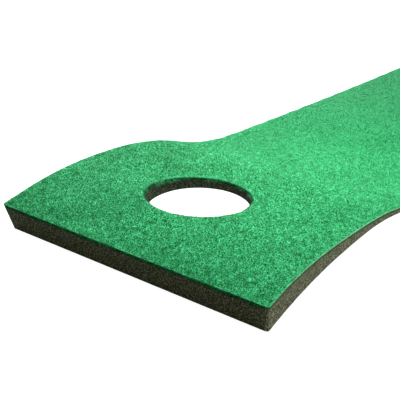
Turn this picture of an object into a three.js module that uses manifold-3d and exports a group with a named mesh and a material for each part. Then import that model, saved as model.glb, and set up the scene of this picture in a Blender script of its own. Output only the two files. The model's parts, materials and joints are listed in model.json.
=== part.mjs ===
// A practice putting mat: green needled felt glued over a dark foam base that is thick at the
// hole end and tapers to a thin lane, with one round hole cut right through every layer.
// Millimetres, +X from the hole end along the lane, +Z up, origin at the middle of the underside.
import * as THREE from "three";
import { mergeVertices } from "three/addons/utils/BufferGeometryUtils.js";
import Module from "manifold-3d";

const wasm = await Module();
wasm.setup();

// ---- Sizes seen from above. The outline is set out from the middle of the hole. ----
const MAT_LENGTH = 1829;
const LANE_WIDTH = 305;
const HOLE_RADIUS = 54;
const HOLE_TO_END = 143; // middle of the hole to the straight hole end
const CORNER_RADIUS = 2.5;

// The +Y edge bulges beside the hole, then steps in round a shoulder to the lane.
const BULGED_CORNER = { y: 131, heading: 14 };
const BULGE = { x: 60, y: 165.5, heading: 0 };
const SHOULDER = { x: 128, y: 129, heading: -75 };
const LANE_START = { x: 205, y: 91, heading: -6 };
const LANE_STRAIGHT = { x: 1000, y: 48, heading: 0 };

// The -Y edge draws in to a waist beside the hole, then flares out to the lane.
const WAISTED_CORNER = { y: -177, heading: 9.5 };
const WAIST = { x: 60, y: -160.5, heading: 0 };
const FLARE = { x: 135, y: -172.5, heading: -20 };
const FLARE_END_X = 225;

// ---- Thicknesses, and the ramp that joins them ----
const END_THICKNESS = 22; // felt, glue and foam together, at the hole end
const LANE_THICKNESS = 6;
const FELT_THICKNESS = 2.2;
const GLUE_THICKNESS = 0.3;
const LAYER_GAP = 0.3; // between two layers that are stuck together
const RAMP_LENGTH = 270;
const RAMP_MIDDLE = 15; // past the hole, where the ramp is half way down
const RAMP_HEADING = THREE.MathUtils.degToRad(-5.6); // the way down, along the lane's first stretch
const UNDERCUT = THREE.MathUtils.degToRad(30.5); // how far the bulged edge's cut leans in below

// ---- How finely the curves are divided ----
const CORNER_STEPS = 3;
const EDGE_STEPS = [CORNER_STEPS, 12, 9, 9, 14, 4, CORNER_STEPS];
const STEPS_ACROSS = 6;
const HOLE_STEPS = 72;
const HANDLE_SHARE = 0.35; // of a stretch's length, how far its ends keep their heading

// ---- Outline ----

// A rounded corner between two points on the sides that meet there.
function corner(from, tip, to) {
  return new THREE.QuadraticBezierCurve(from, tip, to);
}

// A smooth stretch of edge that leaves one place and reaches the next at their headings.
function stretch(from, to) {
  const start = new THREE.Vector2(from.x, from.y);
  const end = new THREE.Vector2(to.x, to.y);
  const reach = HANDLE_SHARE * start.distanceTo(end);
  const handle = (place, distance) => {
    const angle = THREE.MathUtils.degToRad(place.heading);
    return new THREE.Vector2(distance * Math.cos(angle), distance * Math.sin(angle));
  };
  const startHandle = handle(from, reach).add(start);
  const endHandle = handle(to, -reach).add(end);
  return new THREE.CubicBezierCurve(start, startHandle, endHandle, end);
}

// One long edge from end to end. Its side is +1 for the +Y edge and -1 for the -Y edge.
function edgePoints(side, places) {
  const holeEnd = -HOLE_TO_END;
  const laneEnd = MAT_LENGTH - HOLE_TO_END;
  const first = { ...places[0], x: holeEnd + CORNER_RADIUS };
  const last = { ...places.at(-1), x: laneEnd - CORNER_RADIUS };
  const along = [first, ...places.slice(1), last];
  const point = (x, y) => new THREE.Vector2(x, y);
  const curves = [
    corner(
      point(holeEnd, first.y - side * CORNER_RADIUS),
      point(holeEnd, first.y),
      point(first.x, first.y),
    ),
    ...along.slice(1).map((place, i) => stretch(along[i], place)),
    corner(
      point(last.x, last.y),
      point(laneEnd, last.y),
      point(laneEnd, last.y - side * CORNER_RADIUS),
    ),
  ];
  const points = curves.flatMap((curve, i) => curve.getPoints(EDGE_STEPS[i]).slice(0, -1));
  return [...points, curves.at(-1).getPoint(1)];
}

const bulgedEdge = edgePoints(1, [BULGED_CORNER, BULGE, SHOULDER, LANE_START, LANE_STRAIGHT]);
const waistedEdge = edgePoints(-1, [
  WAISTED_CORNER,
  WAIST,
  FLARE,
  { x: FLARE_END_X, y: LANE_START.y - LANE_WIDTH, heading: LANE_START.heading },
  { x: LANE_STRAIGHT.x, y: LANE_STRAIGHT.y - LANE_WIDTH, heading: 0 },
]);
const middle = new THREE.Box2()
  .setFromPoints([...bulgedEdge, ...waistedEdge])
  .getCenter(new THREE.Vector2());

// ---- Layers ----

// Height of the felt's face above the floor, at a point set out from the hole.
function topHeight(x, y) {
  const downRamp = (x - RAMP_MIDDLE) * Math.cos(RAMP_HEADING) + y * Math.sin(RAMP_HEADING);
  const share = THREE.MathUtils.smoothstep(-downRamp, -RAMP_LENGTH / 2, RAMP_LENGTH / 2);
  return THREE.MathUtils.lerp(LANE_THICKNESS, END_THICKNESS, share);
}

// A layer of the mat before its hole is cut. Its faces lie these depths below the felt's face,
// and a floor layer's lower face lies flat on the floor instead.
function layerSheet(upperDepth, lowerDepth, onFloor) {
  const stepsAlong = bulgedEdge.length - 1;
  const sheet = new THREE.BoxGeometry(1, 1, 1, stepsAlong, STEPS_ACROSS, 1);
  const position = sheet.getAttribute("position");
  const place = new THREE.Vector3();
  for (let i = 0; i < position.count; i++) {
    place.fromBufferAttribute(position, i);
    const station = Math.round((place.x + 0.5) * stepsAlong);
    const across = place.y + 0.5;
    const onTop = new THREE.Vector2().lerpVectors(waistedEdge[station], bulgedEdge[station], across);
    const height = topHeight(onTop.x, onTop.y);
    const depth = place.z > 0 ? upperDepth : onFloor ? height : lowerDepth;
    const leanIn = across * depth * Math.tan(UNDERCUT);
    position.setXYZ(i, onTop.x, onTop.y - leanIn, height - depth);
  }
  return sheet;
}

// A closed geometry as a solid that can be cut.
function solidOf(geometry) {
  geometry.deleteAttribute("normal");
  geometry.deleteAttribute("uv");
  const merged = mergeVertices(geometry, 1e-4);
  const vertProperties = merged.getAttribute("position").array;
  const triVerts = new Uint32Array(merged.index.array);
  return new wasm.Manifold(new wasm.Mesh({ numProp: 3, vertProperties, triVerts }));
}

// The round punch that goes down through every layer.
function holePunch() {
  const punch = new THREE.CylinderGeometry(HOLE_RADIUS, HOLE_RADIUS, 4 * END_THICKNESS, HOLE_STEPS);
  return solidOf(punch.rotateX(Math.PI / 2));
}

function layer(name, upperDepth, lowerDepth, onFloor, finish) {
  const made = solidOf(layerSheet(upperDepth, lowerDepth, onFloor)).subtract(holePunch()).getMesh();
  const geometry = new THREE.BufferGeometry();
  geometry.setAttribute("position", new THREE.BufferAttribute(made.vertProperties, 3));
  geometry.setIndex(new THREE.BufferAttribute(made.triVerts, 1));
  geometry.computeVertexNormals();
  const mesh = new THREE.Mesh(geometry, new THREE.MeshStandardMaterial(finish));
  mesh.name = name;
  return mesh;
}

// ---- The mat ----
const FELT_FINISH = { color: 0x1f9d55, roughness: 1, metalness: 0 };
const GLUE_FINISH = { color: 0xc9cdb4, roughness: 0.6, metalness: 0 };
const FOAM_FINISH = { color: 0x37342b, roughness: 0.9, metalness: 0 };

const glueTop = FELT_THICKNESS + LAYER_GAP;
const glueBottom = glueTop + GLUE_THICKNESS;
const foamTop = glueBottom + LAYER_GAP;

const group = new THREE.Group();
group.add(layer("turf_felt", 0, FELT_THICKNESS, false, FELT_FINISH));
group.add(layer("glue_film", glueTop, glueBottom, false, GLUE_FINISH));
group.add(layer("foam_base", foamTop, 0, true, FOAM_FINISH));
group.position.set(-middle.x, -middle.y, 0);

export default group;
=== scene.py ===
# %% [markdown]
# # Practice putting mat
# A felt lane with a round hole near one end, glued on a dark foam wedge. This lesson builds
# its looks around a frame that is already packed: the CAD solids give every size and place,
# and Blender adds what a drawing leaves out, such as the pile, the frayed cut and the foam's
# cells. Everything is in metres and in the frame's own axes: +X runs down the lane, +Z is up.

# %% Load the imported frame
import json
import math

import bmesh
import bpy
import numpy as np
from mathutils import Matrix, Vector


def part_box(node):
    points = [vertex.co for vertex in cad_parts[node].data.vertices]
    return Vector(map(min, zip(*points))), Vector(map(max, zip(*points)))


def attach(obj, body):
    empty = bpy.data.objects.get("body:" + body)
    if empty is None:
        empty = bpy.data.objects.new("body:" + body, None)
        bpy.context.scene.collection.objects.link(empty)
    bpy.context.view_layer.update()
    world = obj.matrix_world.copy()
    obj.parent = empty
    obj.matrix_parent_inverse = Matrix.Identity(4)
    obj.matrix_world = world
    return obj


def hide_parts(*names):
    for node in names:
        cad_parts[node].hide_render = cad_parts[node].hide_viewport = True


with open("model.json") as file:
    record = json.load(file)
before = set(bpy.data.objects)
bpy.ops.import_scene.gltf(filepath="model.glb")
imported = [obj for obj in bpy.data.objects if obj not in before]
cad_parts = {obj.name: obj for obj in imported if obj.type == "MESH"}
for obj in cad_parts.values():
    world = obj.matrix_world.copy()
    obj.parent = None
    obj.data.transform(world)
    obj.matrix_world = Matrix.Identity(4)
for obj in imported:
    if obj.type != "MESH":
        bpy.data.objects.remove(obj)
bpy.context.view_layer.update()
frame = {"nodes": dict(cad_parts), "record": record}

bpy.ops.object.select_all(action="DESELECT")

# %% [markdown]
# ## Camera
# The mat is seen from a low stool's height, from the corner where the straight cut end meets
# the side that draws in. A medium long lens keeps the near corner from looming. A camera
# looks along its own -Z, so a track quaternion turns it to its target.

# %% Place the camera
EYE = Vector((-1.35698, -0.40440, 0.35129))
AIM = Vector((-0.75260, 0.05831, 0.0))

bpy.ops.object.camera_add(location=EYE)
camera = bpy.context.object
camera.rotation_euler = (AIM - EYE).to_track_quat("-Z", "Y").to_euler()
camera.data.lens = 72
camera.data.sensor_width = 36
camera.data.clip_start = 0.01
bpy.context.scene.camera = camera
print("camera to its target:", round((AIM - EYE).length, 3), "m")

# %% [markdown]
# ## Reading the outline
# The record's opening gives the middle of the hole. The felt solid gives the outline: its rim
# is where a face that looks up meets a cut wall. A CAD mesh is loose triangles, so a copy of
# it has its doubles merged before its edges mean anything.

# %% Find the hole and the rim
MM = 0.001
END_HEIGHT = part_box("turf_felt")[1][2]
HALF_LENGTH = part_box("turf_felt")[1][0]
HOLE_BOX = np.array(frame["record"]["physics"]["openings"][0]["box_m"])
HOLE_CENTRE = HOLE_BOX.mean(axis=0)[:2]


def rim_points(node):
    """The points of a CAD node where a face that looks up meets a cut wall."""
    work = bmesh.new()
    work.from_mesh(frame["nodes"][node].data)
    bmesh.ops.remove_doubles(work, verts=work.verts, dist=0.001 * MM)
    work.normal_update()
    points = set()
    for edge in work.edges:
        tilts = sorted(face.normal.z for face in edge.link_faces)
        if tilts[-1] > 0.8 and -0.7 < tilts[0] < 0.7:
            points.update(tuple(vert.co) for vert in edge.verts)
    work.free()
    return np.array(sorted(points))


rim = rim_points("turf_felt")
from_hole = np.hypot(*(rim[:, :2] - HOLE_CENTRE).T)
HOLE_RADIUS = float(from_hole[from_hole < 2 * from_hole.min()].max())
outline = rim[from_hole > 1.01 * HOLE_RADIUS]
print("hole middle", HOLE_CENTRE.round(4), "radius", round(HOLE_RADIUS, 4))

# %% [markdown]
# The two long edges become tables of y against x, one point a millimetre. The CAD edge is
# made of chords of about a centimetre; a running average rounds them off everywhere but at
# the small end corners, which stay crisp.

# %% Tabulate the two long edges
LANE_MIDDLE = -0.03  # a line along the mat that stays clear of both edges and the hole
CORNER_REACH = 6 * MM
ROUNDED_OVER = 15  # points in the running average
table_x = np.arange(-HALF_LENGTH, HALF_LENGTH + 0.5 * MM, MM)
table_x[-1] = HALF_LENGTH


def edge_table(side):
    """y of one long edge at each of table_x: side is +1 for the +Y edge, -1 for the -Y edge."""
    on_side = outline[side * (outline[:, 1] - LANE_MIDDLE) > 0]
    places = np.unique(on_side[:, 0].round(5))
    reach = [
        (side * on_side[abs(on_side[:, 0] - x) < 0.02 * MM, 1]).max() * side for x in places
    ]
    chords = np.interp(table_x, places, reach)
    window = np.hanning(ROUNDED_OVER)
    padded = np.pad(chords, ROUNDED_OVER // 2, mode="reflect", reflect_type="odd")
    rounded = np.convolve(padded, window / window.sum(), mode="valid")
    to_end = HALF_LENGTH - abs(table_x)
    trust = np.clip(to_end / CORNER_REACH - 1, 0, 1)
    return chords + trust * (rounded - chords)


# Each made-up wave of the hand-led cut: how far it strays, its length over one radian, its start.
WOBBLES = ((0.45 * MM, 6.2 * MM, 1.3), (0.35 * MM, 4.1 * MM, 0.4))
WOBBLE_START = -0.68  # just before the shoulder
WOBBLE_FADE = 0.05


def hand_wobble():
    """How far the bulged edge's hand-led cut strays sideways, from the shoulder on."""
    strays = sum(far * np.sin(table_x / long + start) for far, long, start in WOBBLES)
    return strays * np.clip((table_x - WOBBLE_START) / WOBBLE_FADE, 0, 1)


waisted_edge, bulged_edge = edge_table(-1), edge_table(1) + hand_wobble()
print("widest", round((bulged_edge - waisted_edge).max(), 4), "m")

# %% [markdown]
# The felt's face is highest at the hole end, comes down a ramp that the hole lies on, and runs
# on level along the lane. The ramp is an S curve, so that a ball meets no step. The far side of
# the mat was cut with the blade leaning, so every layer under it is a little narrower than the
# one above.

# %% The height of the face and the lean of the cut
LANE_HEIGHT = 6 * MM
RAMP_LENGTH = 270 * MM
RAMP_MIDDLE = HOLE_CENTRE + np.array((15 * MM, 0))
RAMP_HEADING = math.radians(-5.6)
UNDERCUT = math.tan(math.radians(30.5))


def face_height(x, y):
    """Height of the felt's face above the floor."""
    down_ramp = (x - RAMP_MIDDLE[0]) * math.cos(RAMP_HEADING) + (
        y - RAMP_MIDDLE[1]
    ) * math.sin(RAMP_HEADING)
    share = np.clip(0.5 - down_ramp / RAMP_LENGTH, 0, 1)
    return LANE_HEIGHT + (END_HEIGHT - LANE_HEIGHT) * share**2 * (3 - 2 * share)


def place_on_mat(x, across, depth):
    """The points at x, a share across from the -Y edge to the +Y edge, and a depth below the
    felt's face."""
    low = np.interp(x, table_x, waisted_edge)
    high = np.interp(x, table_x, bulged_edge)
    y = low + across * (high - low)
    height = face_height(x, y)
    depth = np.minimum(depth, height)
    return np.stack((x, y - across * depth * UNDERCUT, height - depth), axis=-1)


print("ramp from", END_HEIGHT, "to", LANE_HEIGHT)

# %% [markdown]
# ## One way to make every layer
# Felt, glue and foam share one outline, so one helper makes all three. A grid primitive is
# extruded down in edit mode into a flat block, and then every point of the block is laid on
# the mat: its place along, its place across and its depth. Grid lines crowd together near
# the hole end, where the shape is, and spread out down the lane.

# %% The layer helper
# Distances from each end of the grid lines that shape its small corners.
CORNER_STEPS = np.array((0, 0.08, 0.3, 0.7, 1.3, 2.0, 2.8)) * MM
FINE_UP_TO = -0.40  # the ramp has ended here


def places_along(fine, coarse):
    """Grid lines along the mat: fine until past the ramp, then coarse."""
    near = np.arange(-HALF_LENGTH + CORNER_STEPS[-1] + fine, FINE_UP_TO, fine)
    steps = round((HALF_LENGTH - CORNER_STEPS[-1] - near[-1]) / coarse)
    far = np.linspace(near[-1], HALF_LENGTH - CORNER_STEPS[-1], steps + 1)[1:]
    return np.concatenate(
        (-HALF_LENGTH + CORNER_STEPS, near, far, HALF_LENGTH - CORNER_STEPS[-2::-1])
    )


def points_of(piece):
    """A piece's points as an array."""
    flat = np.empty(3 * len(piece.data.vertices))
    piece.data.vertices.foreach_get("co", flat)
    return flat.reshape(-1, 3)


def move_points(piece, points):
    """Gives a piece's points new places."""
    piece.data.vertices.foreach_set("co", np.asarray(points, dtype=float).ravel())
    piece.data.update()


def edit(piece):
    """Enters edit mode on one piece with all of it selected."""
    bpy.ops.object.select_all(action="DESELECT")
    piece.select_set(True)
    bpy.context.view_layer.objects.active = piece
    bpy.ops.object.mode_set(mode="EDIT")
    bpy.ops.mesh.select_all(action="SELECT")


def done():
    bpy.ops.object.mode_set(mode="OBJECT")


def layer(name, along, steps_across, top, bottom=None, rows=1):
    """A closed layer of the mat without its hole. top and bottom are depths below the felt's
    face, and a layer without a bottom stands on the floor. Its sides have so many rows."""
    bpy.ops.mesh.primitive_grid_add(
        x_subdivisions=len(along) - 1, y_subdivisions=steps_across, size=1
    )
    piece = bpy.context.object
    piece.name = piece.data.name = name
    edit(piece)
    for _ in range(rows):
        bpy.ops.mesh.extrude_region_move(TRANSFORM_OT_translate={"value": (0, 0, -1)})
    bpy.ops.mesh.select_all(action="SELECT")
    bpy.ops.mesh.normals_make_consistent(inside=False)
    done()
    block = points_of(piece)
    station = np.rint((block[:, 0] + 0.5) * (len(along) - 1)).astype(int)
    down = np.rint(-block[:, 2]) / rows
    x = along[station]
    across = block[:, 1] + 0.5
    if bottom is None:
        bottom = place_on_mat(x, across, 0)[:, 2]  # the face's height above the floor
    move_points(piece, place_on_mat(x, across, top + (bottom - top) * down))
    return piece


# %% [markdown]
# The hole is punched last, as a factory would, through each layer with the same round punch.
# A Boolean modifier does it. The punch is a circle extruded up ring by ring, and each ring is
# then laid at its own depth below the face and its own distance out, so the wall gets as many
# rows of faces as it needs and the punch can press a rounded lip into the soft felt.

# %% The punch
PUNCH_SIDES = 160


def punch_hole(piece, rings):
    """Cuts the round hole through a piece. rings are pairs of a depth below the felt's face
    and a distance outside the hole's radius, from the lowest ring up."""
    bpy.ops.mesh.primitive_circle_add(
        vertices=PUNCH_SIDES, radius=HOLE_RADIUS, fill_type="NGON"
    )
    punch = bpy.context.object
    edit(punch)
    for _ in rings[1:]:
        bpy.ops.mesh.extrude_region_move(TRANSFORM_OT_translate={"value": (0, 0, 1)})
    bpy.ops.mesh.select_all(action="SELECT")
    bpy.ops.mesh.normals_make_consistent(inside=False)
    done()
    stack = points_of(punch)
    depth, out = np.array(rings)[np.rint(stack[:, 2]).astype(int)].T
    plan = HOLE_CENTRE + stack[:, :2] * (1 + out / HOLE_RADIUS)[:, None]
    move_points(punch, np.column_stack((plan, face_height(*plan.T) - depth)))
    cut = piece.modifiers.new("punch", "BOOLEAN")
    cut.operation, cut.object, cut.solver = "DIFFERENCE", punch, "EXACT"
    apply_all(piece)
    bpy.data.objects.remove(punch)


def apply_all(piece):
    """Applies a piece's modifiers in order."""
    bpy.ops.object.select_all(action="DESELECT")
    piece.select_set(True)
    bpy.context.view_layer.objects.active = piece
    for name in [modifier.name for modifier in piece.modifiers]:
        bpy.ops.object.modifier_apply(modifier=name)


HOLE_MARGIN = 5 * MM  # an edge nearer to the hole's wall than this belongs to the hole


def soften_edges(piece, width, segments, upper):
    """Rounds the outer cut edges along a piece's upper or lower face, and not the hole's."""
    edit(piece)
    bpy.ops.mesh.select_all(action="DESELECT")
    bpy.ops.mesh.select_mode(type="EDGE")
    work = bmesh.from_edit_mesh(piece.data)
    for edge in work.edges:
        tilts = sorted(face.normal.z * (1 if upper else -1) for face in edge.link_faces)
        from_hole = (edge.verts[0].co.xy - Vector(HOLE_CENTRE)).length - HOLE_RADIUS
        edge.select_set(tilts[-1] > 0.85 and tilts[0] < 0.7 and from_hole > HOLE_MARGIN)
    work.select_flush_mode()
    bmesh.update_edit_mesh(piece.data)
    bpy.ops.mesh.bevel(offset=width, segments=segments, affect="EDGES", clamp_overlap=True)
    done()


def unevenness(piece, size, strength):
    """Pushes a piece's points in and out a little, in soft lumps of one size."""
    lumps = bpy.data.textures.new(piece.name + "_lumps", "CLOUDS")
    lumps.noise_scale = size
    push = piece.modifiers.new("unevenness", "DISPLACE")
    push.texture, push.strength, push.mid_level = lumps, strength, 0.5
    push.texture_coords = "LOCAL"
    apply_all(piece)
    bpy.data.textures.remove(lumps)


def triangles(piece):
    return sum(len(face.vertices) - 2 for face in piece.data.polygons)


# %% [markdown]
# ## The foam base
# One slab of closed-cell foam, skived down to a thin ramp and lane. A plain box would do for
# its bulk, but its cut faces show, so it is made as a block of five rows. That lets them be a
# little uneven, as foam is after a hot blade, and its lower edges are softly rounded where it
# was handled.

# %% Make the foam base
FELT_DEPTH = 2.2 * MM
GLUE_DEPTH = 0.4 * MM
FOAM_DEPTH = FELT_DEPTH + GLUE_DEPTH
THROUGH = 30 * MM  # deep enough to come out below the floor
CLEAR = -5 * MM  # well above the felt's face
FOAM_RINGS = np.array((19, 16, 13, 10, 7, 5)) * MM

foam = layer("foam_slab", places_along(6 * MM, 16 * MM), 26, FOAM_DEPTH, rows=5)
punch_hole(foam, [(depth, 0) for depth in (THROUGH, *FOAM_RINGS, 0)])
soften_edges(foam, 0.9 * MM, 3, upper=False)
unevenness(foam, 9 * MM, 0.25 * MM)
foam_points = points_of(foam)
foam_points[:, 2] = np.maximum(foam_points[:, 2], 0)
move_points(foam, foam_points)
bpy.ops.object.shade_smooth_by_angle(angle=math.radians(40))
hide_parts("foam_base")
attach(foam, "root")
print("foam slab:", triangles(foam), "triangles")

# %% [markdown]
# ## The glue line
# A film of dried contact glue holds the felt on. It could be left out, as so little of it
# shows, but the dark joint it leaves between the layers at the cut is part of the look. It is
# the same layer again, made thin, and its hole is drawn back a hair from the wall.

# %% Make the glue line
DRAWN_BACK = 0.3 * MM
glue = layer("glue_line", places_along(8 * MM, 20 * MM), 20, FELT_DEPTH, FOAM_DEPTH)
punch_hole(glue, [(THROUGH, DRAWN_BACK), (CLEAR, DRAWN_BACK)])
bpy.ops.object.shade_smooth_by_angle(angle=math.radians(40))
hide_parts("glue_film")
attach(glue, "root")
print("glue line:", triangles(glue), "triangles")

# %% [markdown]
# ## The felt
# Needle-punched felt lies on the glue. Its grid is fine enough at the hole end for the face
# to be slightly lumpy, as felt is, and its upper edge is worn round. At the hole the punch
# drags the felt down with it, so its cut is a lip a few millimetres wide and not a corner.
# Cloth simulation has nothing to do here: glued felt can't drape.

# %% Make the felt
LIP_REACH = 2.7 * MM
LIP_DROP = 2.0 * MM
LIP_TURNS = 7


def lip_at(turn):
    """Depth and distance out on the hole's lip, from 0 at its wall to a quarter turn."""
    return LIP_DROP * (1 - np.sin(turn)), LIP_REACH * (1 - np.cos(turn))


felt = layer("felt_sheet", places_along(2.8 * MM, 8 * MM), 104, 0, FELT_DEPTH)
lip = [lip_at(turn) for turn in np.linspace(0, math.pi / 2, LIP_TURNS)]
punch_hole(felt, [(THROUGH, 0), *lip, (CLEAR, LIP_REACH + 1 * MM)])
soften_edges(felt, 1.7 * MM, 4, upper=True)
unevenness(felt, 6 * MM, 0.35 * MM)
bpy.ops.object.shade_smooth_by_angle(angle=math.radians(50))
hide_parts("turf_felt")
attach(felt, "root")
print("felt sheet:", triangles(felt), "triangles")

# %% [markdown]
# ## Node helpers and shared patterns
# Materials are node trees. A small helper adds one node with its settings and its inputs, so
# that a tree reads like a recipe. Patterns that more than one finish uses are groups.

# %% Node helpers
def feed(tree, made, inputs):
    """Sets or links a node's inputs: pairs of a socket's name or number and its value or
    its source."""
    for key, value in inputs:
        if isinstance(value, bpy.types.NodeSocket):
            tree.links.new(value, made.inputs[key])
        else:
            made.inputs[key].default_value = value
    return made


def node(tree, kind, inputs=(), **settings):
    """Adds a node with its settings, and feeds it."""
    made = tree.nodes.new("ShaderNode" + kind)
    for key, value in settings.items():
        setattr(made, key, value)
    return feed(tree, made, inputs)


def maths(tree, operation, *values):
    return node(tree, "Math", list(enumerate(values)), operation=operation).outputs[0]


def ramp(tree, factor, *stops):
    """A colour ramp. stops are pairs of a place and a colour."""
    made = node(tree, "ValToRGB", [("Fac", factor)])
    elements = made.color_ramp.elements
    while len(elements) < len(stops):
        elements.new(0.5)
    for element, (place, colour) in zip(elements, stops):
        element.position = place
        element.color = (*colour, 1)
    return made.outputs["Color"]


def blend_colour(tree, factor, first, second, blend_type="MIX"):
    """Mixes two colours. A Mix node's colour sockets are its inputs 6 and 7 and its output 2."""
    made = node(
        tree,
        "Mix",
        [(0, factor), (6, first), (7, second)],
        data_type="RGBA",
        blend_type=blend_type,
    )
    return made.outputs[2]


print("helpers: feed, node, maths, ramp, blend_colour")

# %% [markdown]
# A group is a tree of its own with named inputs and outputs, and a finish is a tree that ends
# in one Principled BSDF. One helper starts each.

# %% Group and finish helpers
def new_group(name, inputs, outputs):
    """A node group. inputs are triples of a name, a socket kind and a default."""
    tree = bpy.data.node_groups.new(name, "ShaderNodeTree")
    for label, kind, default in inputs:
        socket = tree.interface.new_socket(
            label, in_out="INPUT", socket_type="NodeSocket" + kind
        )
        if default is not None:
            socket.default_value = default
    for label, kind in outputs:
        tree.interface.new_socket(label, in_out="OUTPUT", socket_type="NodeSocket" + kind)
    return tree, tree.nodes.new("NodeGroupInput").outputs, tree.nodes.new("NodeGroupOutput")


def use_group(tree, group, inputs):
    return node(tree, "Group", inputs, node_tree=group).outputs


def new_finish(name, piece):
    """A material with one Principled BSDF on a piece. Returns its tree and that shader."""
    finish = bpy.data.materials.new(name)
    finish.use_nodes = True
    piece.data.materials.clear()
    piece.data.materials.append(finish)
    return finish.node_tree, finish.node_tree.nodes["Principled BSDF"]


print("helpers: new_group, use_group, new_finish")

# %% [markdown]
# ### Tangled fibres
# Needle felt is a tangle of fine fibres lying at every angle. Three noises, each stretched
# along its own direction, stand for three families of fibres; wherever one is highest it
# lies on top.

# %% The tangled fibres group
tangle, given, result = new_group(
    "tangled_fibres",
    [("Place", "Vector", None), ("Fineness", "Float", 500.0), ("Stretch", "Float", 0.25)],
    [("Height", "Float"), ("Shade", "Float")],
)
families = []
for turn, shift in ((0.3, 0.0), (1.35, 3.1), (2.4, 7.7)):
    turned = node(
        tangle,
        "VectorRotate",
        [("Vector", given["Place"]), ("Angle", turn)],
        rotation_type="Z_AXIS",
    ).outputs[0]
    stretch = node(
        tangle, "CombineXYZ", [("X", 1.0), ("Y", given["Stretch"]), ("Z", 1.0)]
    ).outputs[0]
    stretched = node(
        tangle, "VectorMath", [(0, turned), (1, stretch)], operation="MULTIPLY"
    ).outputs[0]
    moved = node(
        tangle, "VectorMath", [(0, stretched), (1, (shift, shift, shift))], operation="ADD"
    ).outputs[0]
    families.append(
        node(
            tangle,
            "TexNoise",
            [("Vector", moved), ("Scale", given["Fineness"]), ("Detail", 2.0)],
        ).outputs["Fac"]
    )
upper_pair = maths(tangle, "MAXIMUM", families[0], families[1])
height = maths(tangle, "MAXIMUM", upper_pair, families[2])
total = maths(tangle, "ADD", maths(tangle, "ADD", families[0], families[1]), families[2])
shade = maths(tangle, "MULTIPLY", total, 1 / 3)
tangle.links.new(height, result.inputs["Height"])
tangle.links.new(shade, result.inputs["Shade"])
print("group:", tangle.name)

# %% [markdown]
# ### Closed cells
# Foam cut by a blade shows sliced bubbles: small pits, some darker, some catching light.

# %% The closed cells group
cells, given, result = new_group(
    "closed_cells",
    [("Place", "Vector", None), ("Fineness", "Float", 700.0)],
    [("Height", "Float"), ("Speck", "Float"), ("Tint", "Float")],
)
bubble = node(
    cells, "TexVoronoi", [("Vector", given["Place"]), ("Scale", given["Fineness"])]
).outputs
coarser = maths(cells, "MULTIPLY", given["Fineness"], 0.8)
specks = node(
    cells,
    "TexNoise",
    [("Vector", given["Place"]), ("Scale", coarser), ("Detail", 3.0), ("Roughness", 0.6)],
).outputs["Fac"]
cells.links.new(bubble["Distance"], result.inputs["Height"])
cells.links.new(specks, result.inputs["Speck"])
tint = node(cells, "SeparateColor", [("Color", bubble["Color"])]).outputs[0]
cells.links.new(tint, result.inputs["Tint"])
print("group:", cells.name)

# %% [markdown]
# ### Round the hole
# Both layers are darker at the hole: this is painted shade, for the shade down in it, and how
# much darker is chosen. Both finishes need a mask that fades out from the hole, so it is a
# group as well.

# %% The round the hole group
hole_mask, given, result = new_group(
    "round_the_hole",
    [("Place", "Vector", None), ("Full", "Float", 0.003), ("Gone", "Float", 0.006)],
    [("Mask", "Float")],
)
to_middle = node(
    hole_mask,
    "VectorMath",
    [(0, given["Place"]), (1, (*HOLE_CENTRE, 0))],
    operation="SUBTRACT",
).outputs[0]
level = node(
    hole_mask, "VectorMath", [(0, to_middle), (1, (1, 1, 0))], operation="MULTIPLY"
).outputs[0]
reach = node(hole_mask, "VectorMath", [(0, level)], operation="LENGTH").outputs["Value"]
past_wall = maths(hole_mask, "SUBTRACT", reach, HOLE_RADIUS)
mask = node(
    hole_mask,
    "MapRange",
    [("Value", past_wall), ("From Min", given["Gone"]), ("From Max", given["Full"])],
    interpolation_type="SMOOTHSTEP",
).outputs[0]
hole_mask.links.new(mask, result.inputs["Mask"])
print("group:", hole_mask.name)

# %% [markdown]
# ## Finishes
# The felt's green runs from a deep bottle green between the fibres to a pale mint where a
# fibre lies on top: partly the fibres' own tones, partly painted shade in the gaps between them.
# Broad, soft patches keep it from looking like printed plastic.

# %% The felt's finish
EVENED_FROM, EVENED_TO = -0.66, -0.42  # the pile looks more and more even between these
EVENED_TONE = 0.675  # the tone that even pile tends to
# Painted shade: the felt's lip is darkened to stand for the shade down in the hole.
LIP_PAINTED_SHADE = (0.20, 0.22, 0.20, 1)  # how much darker the felt's lip is
tree, shader = new_finish("needle_felt", felt)
place = node(tree, "TexCoord").outputs["Object"]
fine = use_group(tree, tangle, [("Place", place), ("Fineness", 900.0), ("Stretch", 0.5)])
tufts = node(
    tree, "TexNoise", [("Vector", place), ("Scale", 150.0), ("Detail", 3.0)]
).outputs["Fac"]
patches = node(
    tree, "TexNoise", [("Vector", place), ("Scale", 16.0), ("Detail", 2.0)]
).outputs["Fac"]
mixed = maths(tree, "MULTIPLY_ADD", tufts, 0.30, fine["Shade"])
mixed = maths(tree, "MULTIPLY_ADD", patches, 0.10, mixed)
along_mat = node(tree, "SeparateXYZ", [("Vector", place)]).outputs["X"]
evened = node(
    tree,
    "MapRange",
    [
        ("Value", along_mat),
        ("From Min", EVENED_FROM),
        ("From Max", EVENED_TO),
        ("To Max", 0.75),
    ],
).outputs[0]
even = node(
    tree, "Mix", [("Factor", evened), ("A", mixed), ("B", EVENED_TONE)], data_type="FLOAT"
).outputs[0]
face_colour = ramp(
    tree,
    even,
    (0.57, (0.002, 0.09, 0.021)),
    (0.64, (0.015, 0.28, 0.090)),
    (0.71, (0.032, 0.465, 0.170)),
    (0.80, (0.11, 0.72, 0.33)),
)
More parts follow.
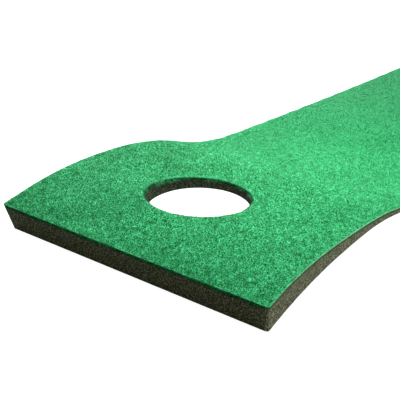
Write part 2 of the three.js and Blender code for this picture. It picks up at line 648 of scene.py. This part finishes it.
# The cut walls and the hole's lip, where the face tilts away from up, turn a much darker green:
# partly the felt's dense base, partly painted shade.
up = node(
    tree, "SeparateXYZ", [("Vector", node(tree, "NewGeometry").outputs["Normal"])]
).outputs
cut = node(
    tree,
    "MapRange",
    [("Value", up["Z"]), ("From Min", 0.975), ("From Max", 0.70)],
    interpolation_type="SMOOTHSTEP",
).outputs[0]
cut_wall_and_shade_colour = ramp(
    tree, fine["Shade"], (0.35, (0.015, 0.05, 0.018)), (0.65, (0.06, 0.17, 0.06))
)
colour = blend_colour(tree, cut, face_colour, cut_wall_and_shade_colour)
# the lip's painted shade fades out from the hole
lip_shade_mask = use_group(
    tree, hole_mask, [("Place", place), ("Full", 1.0 * MM), ("Gone", 2.8 * MM)]
)["Mask"]
colour = blend_colour(tree, lip_shade_mask, colour, LIP_PAINTED_SHADE, "MULTIPLY")
tree.links.new(colour, shader.inputs["Base Color"])
bump = node(
    tree, "Bump", [("Height", fine["Height"]), ("Strength", 0.8), ("Distance", 0.8 * MM)]
)
tree.links.new(bump.outputs[0], shader.inputs["Normal"])
shader.inputs["Roughness"].default_value = 0.95
shader.inputs["Sheen Weight"].default_value = 0.08
shader.inputs["Sheen Roughness"].default_value = 0.5
shader.inputs["Sheen Tint"].default_value = (0.4, 0.95, 0.6, 1)
shader.inputs["Specular IOR Level"].default_value = 0.1
print("finish: needle_felt")

# %% [markdown]
# The foam is a dark olive grey. Close up it is all cut cells: dark pits, grey walls between
# them and a few that shine. An image of foam would stretch on the cut faces, so solid noise
# in the object's own space is used instead, which runs the same through every face.

# %% The foam's finish
# Painted shade: the foam's wall round the hole is darkened to stand for the shade down in it.
WALL_PAINTED_SHADE = (0.50, 0.55, 0.52, 1)  # how much darker the hole's wall is
tree, shader = new_finish("closed_cell_foam", foam)
place = node(tree, "TexCoord").outputs["Object"]
cell = use_group(tree, cells, [("Place", place), ("Fineness", 850.0)])
grey = ramp(
    tree,
    cell["Speck"],
    (0.34, (0.012, 0.014, 0.008)),
    (0.50, (0.092, 0.097, 0.060)),
    (0.66, (0.36, 0.36, 0.25)),
)
hue = ramp(
    tree,
    cell["Tint"],
    (0.0, (1.25, 0.90, 0.85)),
    (0.5, (1.0, 1.0, 1.0)),
    (1.0, (0.82, 1.10, 0.92)),
)
colour = blend_colour(tree, 1.0, grey, hue, "MULTIPLY")
# the wall's painted shade fades out from the hole
wall_shade_mask = use_group(
    tree, hole_mask, [("Place", place), ("Full", 4 * MM), ("Gone", 9 * MM)]
)["Mask"]
colour = blend_colour(tree, wall_shade_mask, colour, WALL_PAINTED_SHADE, "MULTIPLY")
tree.links.new(colour, shader.inputs["Base Color"])
bump = node(
    tree, "Bump", [("Height", cell["Height"]), ("Strength", 0.6), ("Distance", 0.6 * MM)]
)
tree.links.new(bump.outputs[0], shader.inputs["Normal"])
shader.inputs["Roughness"].default_value = 0.8
shader.inputs["Specular IOR Level"].default_value = 0.3
print("finish: closed_cell_foam")

# %% [markdown]
# Only a hairline of the glue ever shows. Dried contact glue takes up dust from the foam, so it
# is a smoother, darker kin of the foam's finish made with the same cells at a coarser size.

# %% The glue's finish
tree, shader = new_finish("dried_glue", glue)
place = node(tree, "TexCoord").outputs["Object"]
cell = use_group(tree, cells, [("Place", place), ("Fineness", 300.0)])
colour = ramp(tree, cell["Speck"], (0.3, (0.03, 0.04, 0.02)), (0.7, (0.08, 0.09, 0.05)))
tree.links.new(colour, shader.inputs["Base Color"])
shader.inputs["Roughness"].default_value = 0.5
print("finish: dried_glue")

# %% [markdown]
# ## Loose pile
# Felt has a nap of loose fibre ends that catch the lamp one by one. Hair particles would give
# it, but they are not a mesh and can't be handed on. So one fibre is a thin three-sided
# spike, modelled once, and each patch of nap is one mesh with thousands of copies of it,
# leaning every way. Every fibre carries its own tint and how far along it a point is, so its
# finish can be dark at the root and pale at the tip. Its UV map lays each fibre in the column
# of its tint, so that a baked picture of the finish can stay small.

# %% Model one fibre
bpy.ops.mesh.primitive_cone_add(
    vertices=3, radius1=0.5, radius2=0, depth=1, location=(0, 0, 0.5), end_fill_type="NGON"
)
spike = bpy.context.object
spike.data.transform(spike.matrix_world)
SPIKE_POINTS = points_of(spike)
SPIKE_FACES = np.array([list(face.vertices) for face in spike.data.polygons])
bpy.data.objects.remove(spike)
print("one fibre:", len(SPIKE_POINTS), "points", len(SPIKE_FACES), "faces")

# %% [markdown]
# To plant fibres, each copy of the spike is turned to its lean, stretched to its length and
# width and moved to its root, all in one sum over arrays, because a loop over so many copies
# would take minutes. The points carry the tint and the place along the fibre as attributes.

# %% The planting helper
TINT_COLUMNS = 48


def column_map(tints, corners):
    """Each corner's place in the UV map: across in its tint's column, up along its fibre."""
    each = len(SPIKE_POINTS)
    px, _, pz = SPIKE_POINTS[corners % each].T
    column = np.clip((tints[corners // each] * TINT_COLUMNS).astype(int), 0, TINT_COLUMNS - 1)
    across = (column + 0.1 + 0.8 * (0.5 + px)) / TINT_COLUMNS
    return np.stack((across, 0.02 + 0.96 * pz), axis=1)


def plant(name, roots, leans, lengths, widths, tints):
    """One mesh of fibres. leans are their directions, as unit vectors."""
    count = len(roots)
    helper = np.where(abs(leans[:, 2:]) < 0.9, (0, 0, 1.0), (1.0, 0, 0))
    side = np.cross(leans, helper)
    side /= np.linalg.norm(side, axis=1, keepdims=True)
    other = np.cross(leans, side)
    px, py, pz = SPIKE_POINTS.T
    points = (
        roots[:, None]
        + widths[:, None, None] * (px[:, None] * side[:, None] + py[:, None] * other[:, None])
        + lengths[:, None, None] * pz[:, None] * leans[:, None]
    ).reshape(-1, 3)
    each = len(SPIKE_POINTS)
    faces = (SPIKE_FACES[None] + each * np.arange(count)[:, None, None]).reshape(-1, 3)
    mesh = bpy.data.meshes.new(name)
    mesh.from_pydata(points, [], faces)
    for label, values in (("tint", np.repeat(tints, each)), ("along", np.tile(pz, count))):
        mesh.attributes.new(label, "FLOAT", "POINT").data.foreach_set("value", values)
    baked = mesh.uv_layers.new(name="OFBake").data
    baked.foreach_set("uv", column_map(tints, faces.ravel()).astype(np.float32).ravel())
    piece = bpy.data.objects.new(name, mesh)
    bpy.context.collection.objects.link(piece)
    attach(piece, "root")
    return piece


print("UV columns:", TINT_COLUMNS)

# %% [markdown]
# Chance decides each fibre's lean, length and tint, always from the same seed, so that every
# run grows the same pile. Neighbours share part of their tint, in lumps of two sizes, because
# real pile lies in tufts.

# %% Leans and tints by chance
chance = np.random.default_rng(7)


def any_way(count, least, most):
    """Unit vectors at every compass angle that lean so many degrees from upright."""
    turn = chance.uniform(0, 2 * math.pi, count)
    lean = np.radians(chance.uniform(least, most, count))
    return np.stack(
        (np.sin(lean) * np.cos(turn), np.sin(lean) * np.sin(turn), np.cos(lean)), axis=1
    )


CHANCE_TABLE = (521, 523)  # cells before the lumps repeat


def lumps_at(points, size):
    """Smooth chance values in plan, from -1 to 1, in lumps of one size."""
    where = (points[:, :2] + 1.0) / size  # the mat is under 2 m long, so none is negative
    cell = np.floor(where).astype(int)
    part = where - cell
    part = part * part * (3 - 2 * part)
    table = chance.uniform(-1, 1, CHANCE_TABLE)
    rows = [(cell[:, 0] + step) % CHANCE_TABLE[0] for step in (0, 1)]
    columns = [(cell[:, 1] + step) % CHANCE_TABLE[1] for step in (0, 1)]
    low, high = (
        table[row, columns[0]] + (table[row, columns[1]] - table[row, columns[0]]) * part[:, 1]
        for row in rows
    )
    return low + (high - low) * part[:, 0]


def tints_for(roots, middle=0.58, spread=1.0):
    """Each fibre's tint: partly its neighbours', partly its own, and a few lie in shade."""
    change = 0.09 * lumps_at(roots, 1.5 * MM) + 0.13 * lumps_at(roots, 7 * MM)
    change += chance.normal(0, 0.28, len(roots))
    change[chance.random(len(roots)) < 0.2] -= 0.45
    return np.clip(middle + spread * change, 0.01, 0.99)


print("seeded")

# %% [markdown]
# The nap is thick at the hole end, thins out past the ramp and is even on the lane. Its tone
# changes along the mat too, as painted light: palest near the ramp's foot, where the lamps rake
# the pile, and darker at the end and on the lane. Wear and the lie of the pile could do that,
# but so could the light: these tones are chosen by eye for the studio below, and a differently
# lit mat may want others.
# One mesh could hold it all, but six stay small enough to be handed on whole.

# %% Grow the nap
NAP_LENGTH = 2.2 * MM
NAP_WIDTH = 0.4 * MM
NAP_LEAN = (30, 75)  # degrees from upright
NAP_SUNK = 0.25 * MM  # how deep a root lies below the face
# Painted light: the nap's tone along the mat stands for how the lamps light it, palest near the
# ramp's foot.
NAP_LIGHT_TONE_AT = (-0.72, -0.64, -0.57, -0.47)
NAP_LIGHT_TONES = (0.50, 0.84, 0.78, 0.40)


def nap(name, start, end, count, spread=1.0, thins_to=0.999):
    """Nap on the felt's face between two places along the mat, clear of the hole's lip. It can
    thin out from the start to the end, to a share of how dense it starts."""
    chances = chance.uniform(0, 1, 2 * count)
    share = (1 - np.sqrt(1 - chances * (1 - thins_to**2))) / (1 - thins_to)
    x = start + (end - start) * share
    across = chance.uniform(0.004, 0.996, 2 * count)
    roots = place_on_mat(x, across, NAP_SUNK)
    clear = np.hypot(*(roots[:, :2] - HOLE_CENTRE).T) > HOLE_RADIUS + 1.1 * LIP_REACH
    roots = roots[clear][:count]
    count = len(roots)
    return plant(
        name,
        roots,
        any_way(count, *NAP_LEAN),
        NAP_LENGTH * chance.uniform(0.6, 1.2, count),
        NAP_WIDTH * chance.uniform(0.6, 1.3, count),
        tints_for(roots, np.interp(roots[:, 0], NAP_LIGHT_TONE_AT, NAP_LIGHT_TONES), spread),
    )


naps = [
    nap("nap_end_one", -HALF_LENGTH + 1 * MM, EVENED_FROM, 42000),
    nap("nap_end_two", -HALF_LENGTH + 1 * MM, EVENED_FROM, 42000),
    nap("nap_ramp", EVENED_FROM, EVENED_TO, 49000, spread=0.5, thins_to=0.36),
    nap("nap_lane_near", EVENED_TO, 0.0, 43600, spread=0.25),
    nap("nap_lane_middle", 0.0, HALF_LENGTH / 2, 47400, spread=0.25),
    nap("nap_lane_far", HALF_LENGTH / 2, HALF_LENGTH - 1 * MM, 47400, spread=0.25),
]
print("nap:", {piece.name: triangles(piece) for piece in naps})

# %% [markdown]
# ## Frayed cuts
# A blade leaves the felt's cut edge ragged. Short fibres stick out of it all round, pointing
# away from the mat and mostly down, in uneven clumps. Longer tufts hang into one side of the
# hole, perhaps pulled as it was punched. They are fibres like the nap's, with their roots on
# the cut instead of the face.

# %% The frayed fibres helper
def frayed(name, roots, outward, lengths, droop=(-1.0, 0.3), middle=0.3, width=0.34 * MM):
    """Fibres that stick out of a cut. outward are unit vectors in plan, away from the felt."""
    count = len(roots)
    along_cut = np.stack((-outward[:, 1], outward[:, 0]), axis=1)
    flat = outward * chance.uniform(0.35, 1.0, (count, 1))
    flat += along_cut * chance.normal(0, 0.55, (count, 1))
    leans = np.column_stack((flat, chance.uniform(*droop, count)))
    leans /= np.linalg.norm(leans, axis=1, keepdims=True)
    lengths = lengths * chance.uniform(0.5, 1.2, count) * (1 + 0.5 * lumps_at(roots, 5 * MM))
    return plant(
        name,
        roots,
        leans,
        lengths,
        width * chance.uniform(0.6, 1.2, count),
        tints_for(roots, middle=middle),
    )


print("helper: frayed")

# %% [markdown]
# The roots must sit on the cut itself. Each kind of cut has a helper that strews them over it
# and tells which way is out: the two long edges, the two straight ends and the hole's lip.

# %% Where the cuts are
ROOT_INSIDE = 0.25 * MM  # how far a root is sunk in the felt
BETWEEN_CORNERS = (0.012, 0.988)  # the share across an end that keeps clear of its corners


def along_edge(count, side, depth):
    """Roots on one long cut edge and the directions away from the mat there."""
    x = chance.uniform(-HALF_LENGTH + 4 * MM, HALF_LENGTH - 4 * MM, count)
    roots = place_on_mat(x, float(side > 0), chance.uniform(*depth, count))
    edge = bulged_edge if side > 0 else waisted_edge
    slope = np.interp(x, table_x, np.gradient(edge, table_x))
    outward = np.stack((-side * slope, np.full(count, side)), axis=1)
    outward /= np.linalg.norm(outward, axis=1, keepdims=True)
    roots[:, :2] -= ROOT_INSIDE * outward
    return roots, outward


def across_end(count, end, depth):
    """Roots on one straight cut end. end is -1 for the hole end."""
    across = chance.uniform(*BETWEEN_CORNERS, count)
    x = np.full(count, end * (HALF_LENGTH - ROOT_INSIDE))
    roots = place_on_mat(x, across, chance.uniform(*depth, count))
    return roots, np.tile((float(end), 0.0), (count, 1))


def round_hole(count, middle=0.0, reach=math.pi):
    """Roots all over the hole's lip, and the directions into the hole."""
    turn = middle + chance.uniform(-reach, reach, count)
    outward = -np.stack((np.cos(turn), np.sin(turn)), axis=1)
    depth, out = lip_at(chance.uniform(0, math.pi / 2, count))
    plan = HOLE_CENTRE - (HOLE_RADIUS + out + 0.2 * MM)[:, None] * outward
    height = face_height(plan[:, 0], plan[:, 1]) - depth
    return np.column_stack((plan, height)), outward


print("helpers: along_edge, across_end, round_hole")

# %% [markdown]
# Every cut gets its plain fringe. The hole end's is longest and hangs down, and the hole's is
# short and tinted dark as painted shade for the shade down in the hole. A stripe in the felt's
# finish could stand for them, but fibres break the outline as the real fringe does.

# %% Plant the fringes
CUT_DEPTH = (0.2 * MM, 2.1 * MM)
frays = [
    frayed("fray_waist_side", *along_edge(9000, -1.0, CUT_DEPTH), 1.0 * MM),
    frayed("fray_bulge_side", *along_edge(9000, 1.0, CUT_DEPTH), 1.3 * MM),
    frayed(
        "fray_hole_end",
        *across_end(8000, -1, (-0.1 * MM, 1.9 * MM)),
        2.1 * MM,
        droop=(-1.5, 0.1),
        middle=0.34,
    ),
    frayed("fray_lane_end", *across_end(1500, 1, CUT_DEPTH), 1.1 * MM),
    frayed(
        "fray_hole",
        *round_hole(9000),
        1.5 * MM,
        droop=(-1.3, 0.25),
        # painted shade: the hole's fringe is tinted dark for the shade down in the hole
        middle=0.08,
    ),
]
print("fringes:", {piece.name: triangles(piece) for piece in frays})

# %% [markdown]
# The pulled tufts are listed one by one, because chance would not put most of them on one side of
# the hole. Each row is a tuft: its place round the hole and how far round it reaches, in
# degrees, how many fibres it has and how long they are, in millimetres.

# %% Plant the pulled tufts
TUFTS = (
    (92, 2.2, 420, 4.4),
    (88, 1.2, 150, 3.0),
    (82, 2.6, 520, 4.8),
    (74, 1.6, 260, 4.0),
    (66, 2.0, 160, 2.8),
    (118, 3, 120, 2.6),
    (55, 8, 160, 2.2),
    (20, 12, 200, 2.2),
    (-18, 8, 200, 2.4),
    (-40, 6, 200, 2.8),
)
tuft_roots = [
    round_hole(count, math.radians(turn), math.radians(reach))
    for turn, reach, count, _ in TUFTS
]
frays.append(
    frayed(
        "fray_tufts",
        np.concatenate([roots for roots, _ in tuft_roots]),
        np.concatenate([outward for _, outward in tuft_roots]),
        np.concatenate([np.full(count, long * MM) for _, _, count, long in TUFTS]),
        droop=(-1.6, 0.1),
        middle=0.46,
        width=0.5 * MM,
    )
)
print("tufts:", triangles(frays[-1]), "triangles")

# %% [markdown]
# At the hole end, clumps of fibres, some dark and some pale, break the line of the cut, as a
# blade may leave them. Their dark tints are partly painted shade for the end that faces away
# from the lamps. Where they are is left to chance. Each clump shares one place, one
# length and one tint.

# %% Plant the clumps on the hole end
CLUMPS = 90
CLUMP_FIBRES = 70
clump_middles = np.repeat(chance.uniform(0.02, 0.98, CLUMPS), CLUMP_FIBRES)
clump_lengths = np.repeat(chance.uniform(1.2, 3.0, CLUMPS), CLUMP_FIBRES)
# tints from dark to middling: partly the fibres' own tones, partly painted shade
clump_tints_and_shade = np.repeat(chance.uniform(0.02, 0.50, CLUMPS), CLUMP_FIBRES)
strewn = clump_middles + chance.normal(0, 0.005, len(clump_middles))
strewn = np.clip(strewn, *BETWEEN_CORNERS)
clump_roots = place_on_mat(
    -HALF_LENGTH + 0.3 * MM + 1.1 * MM * abs(chance.normal(0, 1, len(strewn))),
    strewn,
    chance.uniform(0, 1.0 * MM, len(strewn)),
)
frays.append(
    frayed(
        "fray_end_clumps",
        clump_roots,
        np.tile((-1.0, 0.0), (len(strewn), 1)),
        clump_lengths * MM,
        droop=(-1.5, 0.45),
        middle=clump_tints_and_shade,
        width=0.5 * MM,
    )
)
print("clumps:", triangles(frays[-1]), "triangles")

# %% [markdown]
# On the side that draws in, a fine, broken light line runs along the very top of the cut. It is
# partly a row of sliced fibres that lie there and show their pale cores, and partly a painted
# highlight of the lit edge.

# %% Lay the sliced fibres
# Painted highlight, in part: this pale line is laid only along the lit side's top edge.
roots, outward = along_edge(14000, -1.0, (-0.15 * MM, 0.35 * MM))
roots[:, :2] += chance.uniform(-0.1, 0.35, (len(roots), 1)) * MM * outward
ways = np.stack((-outward[:, 1], outward[:, 0], np.zeros(len(roots))), axis=1)
ways += chance.normal(0, 0.12, ways.shape)
ways /= np.linalg.norm(ways, axis=1, keepdims=True)
sliced_highlight_line = plant(
    "sliced_fibres_and_highlight",
    roots,
    ways,
    chance.uniform(1.2, 2.4, len(roots)) * MM,
    chance.uniform(0.25, 0.45, len(roots)) * MM,
    np.clip(chance.normal(0.5, 0.25, len(roots)), 0.01, 0.99),
)
print("sliced fibres:", triangles(sliced_highlight_line), "triangles")

# %% [markdown]
# A fibre's colour comes from the two values it carries. Its tint runs along a ramp from bottle
# green through moss to mint, and its root is darker than its tip because less light gets
# down there. Reading attributes keeps the colour fixed to the fibre from every side.

# %% The nap's finish
tree, shader = new_finish("loose_fibres", naps[0])
tint = node(tree, "Attribute", attribute_name="tint").outputs["Fac"]
along = node(tree, "Attribute", attribute_name="along").outputs["Fac"]
body = ramp(
    tree,
    tint,
    (0.0, (0.001, 0.062, 0.014)),
    (0.22, (0.022, 0.15, 0.045)),
    (0.34, (0.008, 0.27, 0.080)),
    (0.6, (0.033, 0.47, 0.165)),
    (0.78, (0.175, 0.61, 0.34)),
    (1.0, (0.30, 0.90, 0.54)),
)
root = blend_colour(tree, 0.6, body, (0.01, 0.12, 0.04, 1))
colour = blend_colour(tree, along, root, body)
tree.links.new(colour, shader.inputs["Base Color"])
shader.inputs["Roughness"].default_value = 0.8
shader.inputs["Specular IOR Level"].default_value = 0.08
for piece in naps[1:] + frays:
    piece.data.materials.append(naps[0].data.materials[0])
print("finish: loose_fibres")

# %% [markdown]
# A sliced fibre shows its undyed core, so this finish is a pale, greyish green, which also
# serves as a painted highlight of the lit edge.

# %% The sliced fibres' finish
tree, shader = new_finish("sliced_cores_and_highlight", sliced_highlight_line)
tint = node(tree, "Attribute", attribute_name="tint").outputs["Fac"]
colour = ramp(tree, tint, (0.0, (0.10, 0.26, 0.14)), (1.0, (0.42, 0.56, 0.40)))
tree.links.new(colour, shader.inputs["Base Color"])
shader.inputs["Roughness"].default_value = 0.7
print("finish: sliced_cores_and_highlight")

# %% [markdown]
# ## Studio
# A pale floor, a broad lamp overhead and a small soft key close above the hole, so the felt
# is bright there and falls off to the corners. A back lamp far behind the lane rakes the
# ramp. A low strip lights the foam on the side that draws in, and the straight end is left
# to the room's light and stays dark.

# %% Floor and lights
FLOOR_SIZE = 14.0
FLOOR_GLOW = 0.96  # makes the floor look nearly white without lighting the mat
ROOM_LIGHT = 0.115
bpy.ops.mesh.primitive_plane_add(size=FLOOR_SIZE, location=(0, 0, 0))
floor = bpy.context.object
floor.name = "studio_floor"
tree, shader = new_finish("pale_floor", floor)
shader.inputs["Base Color"].default_value = (0.5, 0.5, 0.5, 1)
shader.inputs["Roughness"].default_value = 1.0
shader.inputs["Specular IOR Level"].default_value = 0.0
seen = node(tree, "LightPath").outputs["Is Camera Ray"]
glow = maths(tree, "MULTIPLY", seen, FLOOR_GLOW)
shader.inputs["Emission Color"].default_value = (1, 1, 1, 1)
tree.links.new(glow, shader.inputs["Emission Strength"])


def soft_lamp(name, place, aim, size, power, colour=(1, 1, 1)):
    bpy.ops.object.light_add(type="AREA", location=place)
    lamp = bpy.context.object
    lamp.name = name
    lamp.rotation_euler = (Vector(aim) - Vector(place)).to_track_quat("-Z", "Y").to_euler()
    lamp.data.shape, lamp.data.size, lamp.data.size_y = "RECTANGLE", *size
    lamp.visible_camera = False
    lamp.data.energy, lamp.data.color = power, colour


soft_lamp("overhead", (0.2, 0.2, 2.2), (0, 0, 0), (2.6, 1.6), 3)
soft_lamp("near_key", (-0.66, -0.02, 0.37), (-0.68, -0.02, 0), (0.25, 0.25), 1.75, (0.85, 1, 0.92))
soft_lamp("back_key", (0.9, 1.6, 0.47), (-0.05, 0, 0), (0.8, 0.4), 125, (0.78, 1, 0.92))
soft_lamp("low_side", (-0.60, -1.6, 0.04), (-0.60, 0, 0.02), (1.4, 0.07), 14)

world = bpy.data.worlds.new("studio_air")
bpy.context.scene.world = world
world.use_nodes = True
air = world.node_tree
background = air.nodes["Background"]
seen = node(air, "LightPath").outputs["Is Camera Ray"]
strength = maths(air, "MULTIPLY_ADD", seen, 1 - ROOM_LIGHT, ROOM_LIGHT)
air_colour = blend_colour(air, seen, (0.92, 1, 0.68, 1), (1, 1, 1, 1))
air.links.new(air_colour, background.inputs["Color"])
air.links.new(strength, background.inputs["Strength"])
bpy.context.scene.view_settings.view_transform = "Standard"
